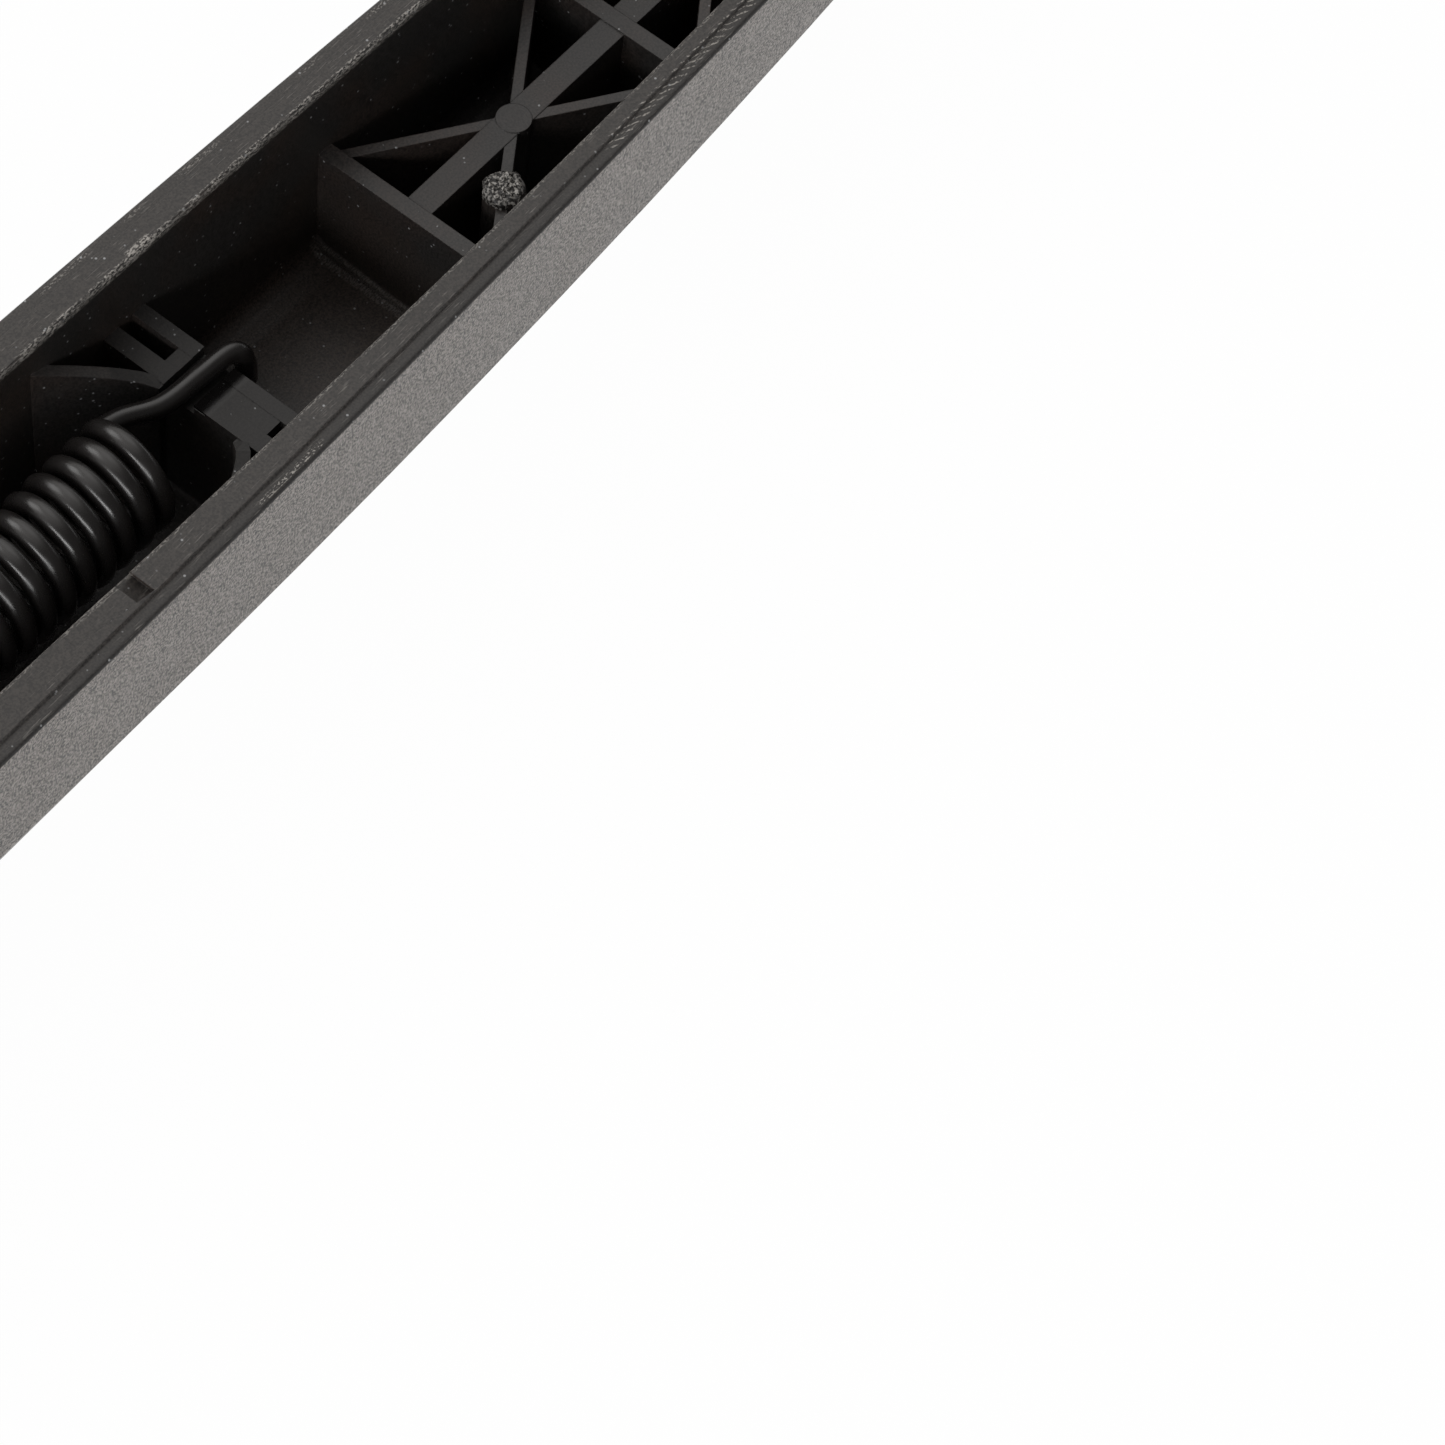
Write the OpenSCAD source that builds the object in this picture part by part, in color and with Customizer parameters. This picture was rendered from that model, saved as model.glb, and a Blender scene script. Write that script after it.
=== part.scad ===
// Snap mouse trap with an extension spring lying in a narrow tail trough.
// X runs along the trap (+X is the tail), Y across it, Z up from the face it rests on.
// The origin is the centre of the footprint. All sizes are in millimetres.

/* [Base moulding] */
// Whole length of the base
base_len = 155; // [152:0.5:162]
// Height of the tail trough, foot to rim
rim_h = 18.6; // [18.2:0.1:19.4]
// Half width of the trough over its rim, at the cross wall
rim_half = 10.4; // [10.2:0.05:10.9]
// Half width of the trough inside, at the cross wall
bay_half = 7.82; // [7.7:0.02:8]
// Widening of the rim for each mm towards the front
rim_taper = 0.0295; // [0.025:0.0005:0.034]
// Widening of the inside for each mm towards the front
bay_taper = 0.0137; // [0.012:0.0005:0.016]
// Lean of the outer wall over its plain height
wall_lean = 1.1; // [0.9:0.05:1.3]
// Plain height of the outer wall, above the bevelled foot
side_h = 14; // [13.5:0.1:14.4]
// Thickness of the trough's floor
floor_t = 1.3; // [1.1:0.1:1.5]
// Drop of the narrow outer strip of the rim
rim_step = 0.25; // [0.15:0.05:0.4]
// Width of the narrow outer strip of the rim
rim_strip = 1; // [0.8:0.05:1.2]

/* [Ribs of the tail] */
// Pitch of the cross walls in the tail
bay_pitch = 22.3; // [21.5:0.1:22.6]
// Thickness of a cross wall
rib_t = 1.3; // [1:0.05:1.6]
// Depth of the cross walls' tops below the rim
rib_drop = 6.92; // [6.4:0.02:7.4]
// Width of the spine along the middle
spine_w = 2.1; // [1.6:0.1:2.4]
// Thickness of the diagonal ribs
brace_t = 0.8; // [0.7:0.05:1.1]
// Angle of the diagonal ribs to the spine, in degrees
brace_deg = 33.3; // [31:0.1:35]
// Diameter of the ejector boss in the middle of a bay
boss_d = 2.55; // [2.2:0.05:3]
// Diameter of the moulding gate's stub
gate_d = 2.9; // [2.4:0.1:3.2]
// Distance of the gate's stub from the boss
gate_run = 6.33; // [6:0.01:7]

/* [Spring anchor] */
// Distance from the cross wall to the rear face of the anchor block
anchor_gap = 17.5; // [17:0.1:18]
// Length of the anchor block
anchor_len = 4; // [3.6:0.1:4.4]
// Half width of the anchor block
anchor_half = 4.4; // [4.2:0.1:4.6]
// Shift of the anchor block off the middle
anchor_shift = -0.45; // [-0.6:0.05:-0.3]
// Distance from the anchor block to the first coil
anchor_reach = 6.6; // [6.4:0.1:7]
// Depth of the anchor block's top below the rim
anchor_drop = 6.21; // [6:0.01:6.5]
// Width of the groove for the spring's hook
groove_w = 2.6; // [2.5:0.1:2.8]
// Thickness of the curved gussets in front of the block
gusset_t = 0.95; // [0.7:0.05:1.1]

/* [Main spring] */
// Diameter of the spring's wire
wire_d = 1.5; // [1.4:0.02:1.52]
// Mean radius of the coils
coil_r = 3.5; // [3.3:0.05:3.6]
// Pitch of the coils
coil_pitch = 1.95; // [1.93:0.01:2]
// Number of whole turns
coil_turns = 10; // [9:1:10]
// Depth of the spring's axis below the rim
axis_drop = 6.8; // [6.7:0.05:6.9]

/* [Striker] */
// Distance of the pivot behind the deck's rear face
pivot_setback = 6.33; // [6.2:0.01:6.6]
// Distance of the crank pin from the pivot
crank_r = 6.2; // [5.8:0.1:6.4]
// How far the striker opens, in degrees
open_deg = 95; // [90:1:100]
// Diameter of the pivot pin
pivot_d = 4; // [3.5:0.1:4.2]
// Diameter of the crank pin
crank_pin_d = 2.5; // [2.2:0.1:2.7]
// Diameter of the bow's wire
bow_d = 2.6; // [2.4:0.1:2.8]
// Half width of the bow, to the wire's middle
bow_half = 17; // [16.5:0.1:17.2]
// Diameter of the finger grip
grip_d = 5.2; // [4.8:0.1:5.4]
// Length of the finger grip
grip_len = 16; // [12:0.5:18]

/* [Front deck] */
// Length of the deck
deck_len = 36; // [35:0.5:37]
// Width of the deck
deck_w = 42; // [41.5:0.5:44]
// Height of the deck's walls
deck_h = 11; // [10.6:0.1:11.1]
// Thickness of the deck's walls
deck_wall = 1.6; // [1.3:0.1:1.8]
// Radius of the deck's corners
deck_corner = 6; // [5:0.5:7]
// Height of a jaw tooth above the wall
tooth_h = 1.4; // [1:0.1:1.6]
// Pitch of the jaw teeth
tooth_pitch = 2; // [1.8:0.1:2.4]

/* [Trigger] */
// Diameter of the latch pin and the treadle pin
small_pin_d = 2; // [1.8:0.1:2.2]
// Half width of the treadle plate
treadle_half = 15; // [13:0.5:16]
// Thickness of the treadle plate
treadle_t = 1.6; // [1.4:0.1:1.8]
// Outer diameter of the bait cup
cup_d = 11; // [10.5:0.1:12]
// Depth of the bait cup inside
cup_depth = 4.6; // [4.3:0.1:4.8]
// Swing of the latch between free and set, in degrees
latch_deg = 18; // [16:0.5:19]

/* [Hidden] */
$fn = 48;
eps = 0.01;
// Clearance of a pin in a bore that turns on it, and of a part that is pressed in
run_clear = 0.05;
seat_clear = 0.02;
black = "#1b1a1a";
steel = "#9a9a98";
dark_steel = "#222224";

// Places along the trap, from the front to the cross wall
tail_x = base_len / 2;
front_x = -base_len / 2;
deck_rear_x = front_x + deck_len;
half_open = open_deg / 2;
wire_r = wire_d / 2;
eye_clear = 0.12;
eye_r = crank_pin_d / 2 + eye_clear + wire_r;
// The barrel is as thick as the spring's eye leaves room for
eye_gap = 0.15;
hub_r = crank_r - eye_r - wire_r - eye_gap;
crank_boss_t = 1.05;
crank_boss_r = crank_pin_d / 2 + crank_boss_t;
pivot_x = deck_rear_x + pivot_setback;
crank_reach = crank_r * sin(half_open);
crank_x = pivot_x + crank_reach;
// With the striker open the stretched spring's last coil still clears the barrel
coil_front_gap = 1;
coil_end_x = pivot_x + hub_r + 2 * crank_reach + wire_r + coil_front_gap;
first_coil_x = coil_end_x + coil_pitch * coil_turns;
anchor_front_x = first_coil_x + anchor_reach;
anchor_rear_x = anchor_front_x + anchor_len;
wall_x = anchor_rear_x + anchor_gap;
// The widths stop growing this far in front of the cross wall
flare_len = 48;
rim_bow = 0.0002;
bay_bow = 0.0003;
side_taper = 0.0198;
side_bow = 0.0006;
nose_len = 6;
tip_t = 3.2;

// Widths and heights of the trough at a place x
function along(x) = max(x - wall_x, -flare_len);
function outer_half(x) = rim_half - rim_taper * along(x) - rim_bow * along(x) * along(x);
function inner_half(x) = bay_half - bay_taper * along(x) - bay_bow * along(x) * along(x);
function side_depth(x) = side_h - side_taper * along(x) - side_bow * along(x) * along(x);
// The tail's underside and its floor rise towards the tip as the walls get shallower
function lift(x) = x > wall_x ? max(0, side_h - side_depth(x)) : 0;
function floor_z(x) = floor_t + lift(x);
// Narrowing of the rounded tip
nose_x = tail_x - nose_len;
nose_cut = 0.45;
function nose_share(x) = x <= nose_x ? 0 : (x - nose_x) / nose_len;
function nose(x) = 1 - nose_cut * (1 - sqrt(max(0, 1 - pow(nose_share(x), 2))));

// Spring, crank and pivot
axis_z = rim_h - axis_drop;
pivot_z = axis_z + crank_r * cos(half_open);
side_gap = 0.35;
hub_half = inner_half(pivot_x) - side_gap;
cheek_gap = 0.55;
cheek_in = wire_r + cheek_gap;
cheek_t = 2;
nose_over = 1.8;
nose_r = crank_r + nose_over;
nose_t = 2.2;
nose_half = 1.8;
pad_rim = 2.3;
pad_r = pivot_d / 2 + pad_rim;
pad_rise = 0.15;
pad_y = outer_half(pivot_x) + pad_rise;
head_r = pivot_d / 2 + 1.3;
head_t = 1.1;
// Length of the bores' cutters to each side, past everything on the pins
bore_reach = deck_w / 2;

// Bow
bow_r = bow_d / 2;
bow_gap = 0.7;
bow_z = deck_h + bow_gap + bow_r;
socket_t = 0.9;
socket_r = bow_r + socket_t;
socket_y = hub_half - socket_r;
socket_len = 7.5;
socket_back = 1.5;
socket_front_x = pivot_x - socket_len;
bow_front_x = front_x + deck_wall + bow_gap + bow_r;
bow_bend = 4;
leg_bend = 3;
elbow_run = 3.5;
shoulder_run = 8;
elbow_x = socket_front_x - elbow_run;
shoulder_x = elbow_x - shoulder_run;

// Deck and cheeks
tray_floor = 1.8;
tray_front_x = front_x + deck_wall;
cheek_wall = 2.2;
cheek_half = inner_half(front_x);
cheek_top = 9.5;
side_teeth = 8;
scallop_drop = 1.6;
scallop_half = grip_len / 2 + 1.6;

// Latch and treadle
pin_r = small_pin_d / 2;
barrel_t = 0.95;
barrel_r = pin_r + barrel_t;
latch_gap = 2.2;
latch_x = pivot_x - nose_r - latch_gap;
latch_z = 7;
latch_half = 1.8;
// The arm's top is an arc round the latch pin, just under the round end of the hub's nose
nose_mid = [pivot_x - nose_r + nose_t / 2, pivot_z];
hold_gap = 0.12;
hold_r = norm(nose_mid - [latch_x, latch_z]) - nose_t / 2 - hold_gap;
hold_deg = atan2(nose_mid[0] - latch_x, nose_mid[1] - latch_z);
toe_len = 2.75;
toe_t = 1.3;
toe_drop = 2.2;
lever_ratio = 3;
treadle_deg = latch_deg / lever_ratio;
pins_apart = 6;
treadle_x = latch_x - pins_apart;
treadle_z = 5.2;
arm_len = latch_x + toe_len - treadle_x;
toe_gap = 0.3;
arm_top = latch_z - toe_drop - toe_gap;
arm_t = 1.3;
plate_top = 8.2;
neck_len = 3.6;
plate_room = 2.4;
plate_rear_x = treadle_x - neck_len;
plate_front_x = tray_front_x + plate_room;
barrel_gap = 0.5;
barrel_half = cheek_half - barrel_gap;
cup_x = (plate_rear_x + plate_front_x) / 2;
cup_wall = 0.9;
cup_flange = 1.4;
cup_flange_t = 0.8;

// Solid through a list of rings that all have the same number of points
function loft_faces(rings) =
    let (n = len(rings[0]), m = len(rings))
    concat(
        [[for (j = [0 : n - 1]) j]],
        [[for (j = [n - 1 : -1 : 0]) (m - 1) * n + j]],
        [for (i = [0 : m - 2], j = [0 : n - 1]) each
            let (k = (j + 1) % n)
            [[i * n + j, (i + 1) * n + k, i * n + k], [i * n + j, (i + 1) * n + j, (i + 1) * n + k]]]);
module loft(rings) {
    polyhedron(points = [for (ring = rings) each ring], faces = loft_faces(rings), convexity = 10);
}

// Section of the trough's outside: (y, z) pairs down one side. The insets shrink with the nose's share k
function shell_half(x) = let (k = nose(x), w = outer_half(x) * k, e = w - wall_lean * k, u = lift(x)) [
    [w - rim_strip - 0.1, rim_h],
    [w - rim_strip, rim_h - rim_step],
    [w - 0.12, rim_h - rim_step],
    [w, rim_h - rim_step - 0.15],
    [e, rim_h - side_depth(x)],
    [e - 1.05 * k, 2.2 + u],
    [e - 1.75 * k, 1.1 + u],
    [e - 3 * k, 0.3 + u],
    [e - 4.4 * k, u]];
// Section of its inside, with a small fillet at the foot
foot_draft = 0.2;
function bay_half_section(x) = let (w = inner_half(x) * nose(x + 1.2), f = floor_z(x), e = w - foot_draft * lift(x)) [
    [w + 0.15, rim_h + 1],
    [w + 0.15, rim_h],
    [w, rim_h - 0.2],
    [e, f + 1.4],
    [e - 0.32, f + 0.65],
    [e - 1.02, f + 0.15],
    [e - 2.42, f]];
// Section midway through the walls and the floor, where the ribs inside the trough end
rib_bite = 0.5;
function core_half(x) =
    let (o = shell_half(x), i = bay_half_section(x))
    concat([[i[2][0] + rib_bite, rim_h - 1], [i[2][0] + rib_bite, rim_h - side_depth(x) + 1]],
           [for (k = [4 : 8]) [(o[k][0] + i[max(k - 2, 2)][0]) / 2, k == 4 ? o[4][1] : (o[k][1] + i[k - 2][1]) / 2]]);
function both_sides(half) = concat([for (p = half) [-p[0], p[1]]], [for (i = [len(half) - 1 : -1 : 0]) half[i]]);
function ring_at(x, section) = [for (p = section) [x, p[0], p[1]]];

function spread(a, b, n) = [for (i = [0 : n]) a + (b - a) * i / n];
function trough_stations(front, last) = concat(
    spread(front, nose_x, 12),
    [for (i = [1 : 6]) nose_x + (last - nose_x) * sin(i * 15)]);

module trough_outside() {
    front = deck_rear_x - deck_wall / 2;
    intersection() {
        loft([for (x = trough_stations(front - 2, tail_x))
            ring_at(x, both_sides(shell_half(x)))]);
        translate([front, -deck_w, -1])
            cube([base_len, 2 * deck_w, rim_h + 2]);
    }
}

module trough_inside() {
    tip = tail_x - tip_t;
    intersection() {
        loft([for (x = trough_stations(deck_rear_x - 3, tip + 0.4))
            ring_at(x, both_sides(bay_half_section(x)))]);
        translate([front_x, -deck_w, -1])
            cube([tip - front_x, 2 * deck_w, rim_h + 4]);
    }
}

module trough_core(from, to) {
    loft([for (x = spread(from, to, 8)) ring_at(x, both_sides(core_half(x)))]);
}

// Rounded rectangle of half sizes a and b, as n points to a quarter
function round_rect(a, b, r, n = 6) = [for (q = [0 : 3], i = [0 : n])
    let (t = q * 90 + i * 90 / n, sx = (q == 0 || q == 3) ? 1 : -1, sy = q < 2 ? 1 : -1)
    [sx * (a - r) + r * cos(t), sy * (b - r) + r * sin(t)]];
function deck_ring(z, inset) = [for (p = round_rect(deck_len / 2 - inset, deck_w / 2 - inset, deck_corner - inset))
    [front_x + deck_len / 2 + p[0], p[1], z]];

module deck_outside() {
    loft([deck_ring(0, 1.1), deck_ring(0.9, 0.2), deck_ring(deck_h - 0.5, 0), deck_ring(deck_h, 0.35)]);
}

module deck_inside() {
    wall = deck_wall;
    loft([deck_ring(tray_floor, wall + 0.5), deck_ring(tray_floor + 0.6, wall + 0.1), deck_ring(deck_h + 1, wall)]);
}

// The ribs are drawn down to below the floor and cut off by the core of the trough's walls
module cross_wall(x, t, top) {
    translate([x, -rim_half - 1, 0])
        cube([t, 2 * rim_half + 2, top]);
}

module bar(a, b, t, top) {
    d = b - a;
    translate([a[0], a[1], 0])
        rotate([0, 0, atan2(d[1], d[0])])
            translate([0, -t / 2, 0])
                cube([norm(d), t, top]);
}

// Small steps between the tops of ribs that meet
spine_step = 0.12;
boss_step = 0.07;
brace_step = 0.16;
boss_shift = 0.4;
gate_rise = 0.25;
bay_count = floor((tail_x - tip_t - rib_t - wall_x) / bay_pitch);
last_wall_x = wall_x + bay_count * bay_pitch;
rib_top = rim_h - rib_drop;

module tail_bay(x) {
    mid = [x + (bay_pitch + rib_t) / 2 - boss_shift, 0];
    for (end = [x + rib_t / 2, x + bay_pitch + rib_t / 2], side = [-1, 1])
        bar(mid, mid + [end - mid[0], side * abs(end - mid[0]) * tan(brace_deg)], brace_t, rib_top - brace_step);
    translate(mid)
        cylinder(d = boss_d, h = rib_top - boss_step);
    // Stub of the moulding gate, on a diagonal of the first bay
    if (x == wall_x)
        translate([mid[0] - gate_run * cos(brace_deg), -gate_run * sin(brace_deg), 0])
            cylinder(d = gate_d, h = rib_top + gate_rise);
}

module tail_ribs() {
    thicker = 0.06;
    intersection() {
        union() {
            cross_wall(wall_x, rib_t, rib_top);
            for (i = [1 : bay_count])
                cross_wall(wall_x + i * bay_pitch - thicker, rib_t + thicker, rib_top);
            translate([wall_x + rib_t / 2, -spine_w / 2, 0])
                cube([last_wall_x - wall_x, spine_w, rib_top - spine_step]);
            for (i = [0 : bay_count - 1])
                tail_bay(wall_x + i * bay_pitch);
            foot_bead();
        }
        trough_core(wall_x - 1, last_wall_x + 2);
    }
}

// Bead along the foot of the first cross wall, higher at its left end
module foot_bead() {
    half = bay_half + 1;
    translate([wall_x - 0.35, 0, 0])
        rotate([90, 0, 90])
            linear_extrude(0.6)
                polygon([[-half, 0], [half, 0], [half, floor_t + 1.8], [bay_half - 1, floor_t + 0.95],
                         [1, floor_t + 0.45], [1 - bay_half, floor_t + 0.62], [-half, floor_t + 1.1]]);
}

// Curved gusset from the block's front corner out to the side wall
gusset_len = 6.8;
gusset_rise = 3.6;
gusset_in = 1.1;
gusset_bend = 0.68;
function gusset_point(t, side) =
    let (from = anchor_half + side * anchor_shift - gusset_in, to = inner_half(anchor_front_x) + 0.3)
    [anchor_front_x - gusset_len * t, from + (to - from) * pow(t, gusset_bend)];
module gusset(side) {
    steps = concat([-0.06], spread(0.002, 1, 10));
    loft([for (t = steps)
        let (p = gusset_point(max(t, 0.002), side), q = gusset_point(max(t, 0.002) + 0.02, side), d = (q - p) / norm(q - p),
             n = [-d[1], d[0]] * gusset_t / 2, top = rim_h - anchor_drop - 0.1 + gusset_rise * max(t, 0),
             a = side > 0 ? n : -n, x = anchor_front_x - gusset_len * t)
        [[x - a[0], side * (p[1] - a[1]), 0], [x + a[0], side * (p[1] + a[1]), 0],
         [x + a[0], side * (p[1] + a[1]), top], [x - a[0], side * (p[1] - a[1]), top]]]);
}

groove_y = 1.45;
groove_drop = 0.9;
module anchor() {
    top = rim_h - anchor_drop;
    rear_rib = 1.16;
    front_rib = 1.44;
    difference() {
        intersection() {
            union() {
                cross_wall(anchor_rear_x - rear_rib, rear_rib, top);
                cross_wall(anchor_front_x, front_rib, top);
                translate([anchor_front_x + 0.1, anchor_shift - anchor_half, 0])
                    cube([anchor_len - 0.2, 2 * anchor_half, top - 0.05]);
                gusset(1);
                gusset(-1);
            }
            trough_core(anchor_front_x - gusset_len - 2, anchor_rear_x + 1);
        }
        // Groove for the hook of the spring
        translate([anchor_front_x - 1, groove_y - groove_w / 2, top - groove_drop])
            cube([anchor_len + 2, groove_w, groove_drop + 1]);
    }
}

// Shallow ramp left in the rim where a core pin met it
nick_len = 6.3;
nick_drop = 0.32;
nick_reach = 2.6;
module rim_nick() {
    nick_x = first_coil_x - 8.6;
    translate([nick_x, 0.5 - inner_half(nick_x), rim_h])
        intersection() {
            rotate([90, 0, 0])
                linear_extrude(nick_reach + 1)
                    polygon([[0, -nick_drop], [0, 1], [-nick_len, 1], [-nick_len, -0.06]]);
            translate([0, 0, -1])
                linear_extrude(3)
                    polygon([[1, 1], [1, -nick_reach], [0, -nick_reach], [-nick_len - 1, 1 - nick_reach],
                             [-nick_len - 1, 1]]);
        }
}

module across(x, z, r, half) {
    translate([x, half, z])
        rotate([90, 0, 0])
            cylinder(r = r, h = 2 * half);
}

// Walls that run on from the trough into the deck and carry the two trigger pins
module cheeks() {
    rear = deck_rear_x + 1.5;
    front = treadle_x - 3;
    foot = rim_h - side_depth(deck_rear_x) + 0.6;
    for (side = [-1, 1])
        translate([0, side > 0 ? cheek_half + 0.15 + cheek_wall : -cheek_half - 0.15, 0])
            rotate([90, 0, 0])
                linear_extrude(cheek_wall)
                    polygon([[deck_rear_x - 0.3, foot], [rear, foot], [rear, rim_h - 1], [deck_rear_x - 5, deck_h + 0.2],
                             [treadle_x + 2, cheek_top], [front, cheek_top - 0.8],
                             [front, tray_floor - 0.5], [deck_rear_x - deck_wall, tray_floor - 0.5]]);
}

module tooth(t) {
    linear_extrude(t)
        polygon([[-tooth_pitch / 2 + 0.1, -0.3], [tooth_pitch / 2 - 0.1, -0.3], [0, tooth_h]]);
}

// Teeth of the jaw, along the front wall beside the finger scallop and back along the side walls
module jaw_teeth() {
    t = deck_wall - 0.6;
    front_span = deck_w / 2 - deck_corner;
    front_count = floor((front_span - scallop_half) / tooth_pitch);
    for (side = [-1, 1]) {
        for (i = [0 : front_count - 1])
            translate([front_x + 0.3, side * (front_span - (i + 0.5) * tooth_pitch), deck_h])
                rotate([90, 0, 90])
                    tooth(t);
        for (i = [0 : side_teeth - 1])
            translate([front_x + deck_corner + (i + 0.5) * tooth_pitch, side * (deck_w / 2 - 0.3), deck_h])
                rotate([90, 0, 0])
                    translate([0, 0, side > 0 ? 0 : -t])
                        tooth(t);
    }
}

// Round pad outside each wall, as a seat for the pivot pin's head and clip
module pivot_pads() {
    depth = pad_y - inner_half(pivot_x) - 0.6;
    for (side = [-1, 1])
        translate([pivot_x, side > 0 ? pad_y : depth - pad_y, pivot_z])
            rotate([90, 0, 0])
                cylinder(r = pad_r, h = depth);
}

module base() {
    color(black)
        difference() {
            union() {
                difference() {
                    trough_outside();
                    trough_inside();
                    rim_nick();
                }
                difference() {
                    deck_outside();
                    deck_inside();
                    trough_inside();
                }
                pivot_pads();
                cheeks();
                tail_ribs();
                anchor();
                jaw_teeth();
            }
            across(pivot_x, pivot_z, pivot_d / 2 + seat_clear, bore_reach);
            across(latch_x, latch_z, pin_r + seat_clear, cheek_half + cheek_wall + 1);
            across(treadle_x, treadle_z, pin_r + seat_clear, cheek_half + cheek_wall + 1);
            // Finger scallop in the front wall
            translate([front_x - 1, -scallop_half, deck_h - scallop_drop])
                cube([deck_wall + 2, 2 * scallop_half, scallop_drop + tooth_h + 1]);
        }
}

// Tube of a round wire along a list of points, with a frame that doesn't twist
function unit(v) = v / norm(v);
function tangent(p, i) = unit(p[min(i + 1, len(p) - 1)] - p[max(i - 1, 0)]);
function carried(n, t) = unit(n - t * (n * t));
function wire_rings(p, r, start, sides = 6) =
    let (normals = [for (i = 0, n = carried(start, tangent(p, 0)); i < len(p);
                         i = i + 1, n = i < len(p) ? carried(n, tangent(p, i)) : n) n])
    [for (i = [0 : len(p) - 1])
        let (n = normals[i], b = cross(tangent(p, i), n))
        [for (j = [0 : sides - 1], a = [j * 360 / sides]) p[i] + r * (cos(a) * n + sin(a) * b)]];

// Smooth curve through points, k steps to each stretch
function curve_point(a, b, c, d, t) =
    0.5 * (2 * b + (c - a) * t + (2 * a - 5 * b + 4 * c - d) * t * t + (3 * b - a - 3 * c + d) * t * t * t);
function smooth(p, k) = [for (i = [1 : len(p) - 3], j = [0 : k - 1])
    curve_point(p[i - 1], p[i], p[i + 1], p[i + 2], j / k)];

// Coils: the angle is 0 at the top and falls as the wire winds towards the front
rings_per_turn = 8;
coil_start = 45;
function coil_point(a) = [first_coil_x + coil_pitch * a / 360, coil_r * sin(a), axis_z + coil_r * cos(a)];
function coil_path() = [for (i = [0 : coil_turns * rings_per_turn])
    coil_point(coil_start - i * 360 / rings_per_turn)];

// Tail hook: down behind the block, along its groove and out to the left of the coils
hook_y = groove_y - 0.05;
hook_z = rim_h - anchor_drop + wire_r - 0.7;
hook_end_x = anchor_rear_x + wire_r + 0.8;
function tail_hook() = smooth([
    [hook_end_x, hook_y - 1.1, hook_z - 4.4],
    [hook_end_x, hook_y - 1.05, hook_z - 3],
    [hook_end_x, hook_y - 0.9, hook_z - 1.5],
    [hook_end_x - 0.2, hook_y - 0.6, hook_z - 0.4],
    [hook_end_x - 1.05, hook_y - 0.2, hook_z],
    [anchor_rear_x - 2, hook_y, hook_z],
    [anchor_front_x - 1.4, hook_y + 0.3, hook_z],
    [anchor_front_x - 4, hook_y + 1.55, hook_z + 0.1],
    [anchor_front_x - 6, coil_r, axis_z + 0.7],
    coil_point(coil_start + 12),
    coil_point(coil_start),
    coil_point(coil_start - 45)], 3);

// Front eye: in from the top of the last coil, straight along the axis, then under and round the crank pin
coil_last = coil_start - 360 * coil_turns;
eye_from = -50;
eye_step = 34;
eye_to = -290;
eye_near_x = crank_x + eye_r;
function eye_point(a) = [crank_x + eye_r * cos(a), 0, axis_z + eye_r * sin(a)];
function front_eye() = concat(
    smooth([
        coil_point(coil_last),
        coil_point(coil_last - 40),
        [coil_end_x - 0.75, -0.95, axis_z + 0.73 * coil_r],
        [coil_end_x - 1.75, -0.55, axis_z + 0.27 * coil_r],
        [coil_end_x - 3.1, -0.05, axis_z + 0.04 * coil_r],
        [coil_end_x - 4.8, 0, axis_z],
        [eye_near_x + 0.9, 0, axis_z - 0.1],
        [eye_near_x - 0.05, 0, axis_z - 0.75],
        eye_point(eye_from),
        eye_point(eye_from - eye_step)], 3),
    [for (a = [eye_from : -eye_step : eye_to]) eye_point(a)]);

function wire_path() = concat(tail_hook(), coil_path(), front_eye());

// Least gap between parts of the wire that aren't next to each other
function least_gap(p) = min([for (i = [0 : len(p) - 8], j = [i + 6 : len(p) - 1]) norm(p[i] - p[j])]) - wire_d;

module main_spring() {
    path = wire_path();
    echo(least_gap = least_gap(path), rings = len(path));  // main_spring
    color(dark_steel)
        loft(wire_rings(path, wire_r, [0, 1, 0]));
}

module pivot_pin() {
    half = pad_y + 0.05;
    color(steel) {
        across(pivot_x, pivot_z, pivot_d / 2, half + head_t + 0.4);
        translate([pivot_x, half + head_t, pivot_z])
            rotate([90, 0, 0])
                cylinder(r = head_r, h = head_t);
    }
}

// Push-on clip at the pin's plain end, with its teeth bent outwards
module pivot_clip() {
    clip_t = 0.5;
    color(steel)
        translate([pivot_x, -pad_y - 0.05, pivot_z])
            rotate([90, 0, 0])
                difference() {
                    union() {
                        cylinder(r = head_r, h = clip_t);
                        cylinder(r1 = head_r - 0.5, r2 = pivot_d / 2 + 0.3, h = clip_t + 0.45);
                    }
                    translate([0, 0, -1])
                        cylinder(r = pivot_d / 2 + seat_clear, h = 4);
                    for (a = [0 : 60 : 300])
                        rotate([0, 0, a])
                            translate([pivot_d / 2 - 0.4, -0.2, -1])
                                cube([1, 0.4, 4]);
                }
}

// Plate of the hub in the XZ plane: from the pivot out to a round end
module arm_plate(to, r_root, r_end, y0, y1) {
    d = to - [pivot_x, pivot_z];
    run = norm(d);
    translate([pivot_x, y1, pivot_z])
        rotate([90, 0, 0])
            rotate([0, 0, atan2(d[1], d[0])])
                linear_extrude(y1 - y0) {
                    polygon([[0, r_root], [run, r_end], [run, -r_end], [0, -r_root]]);
                    translate([run, 0])
                        circle(r = r_end);
                }
}

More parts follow.
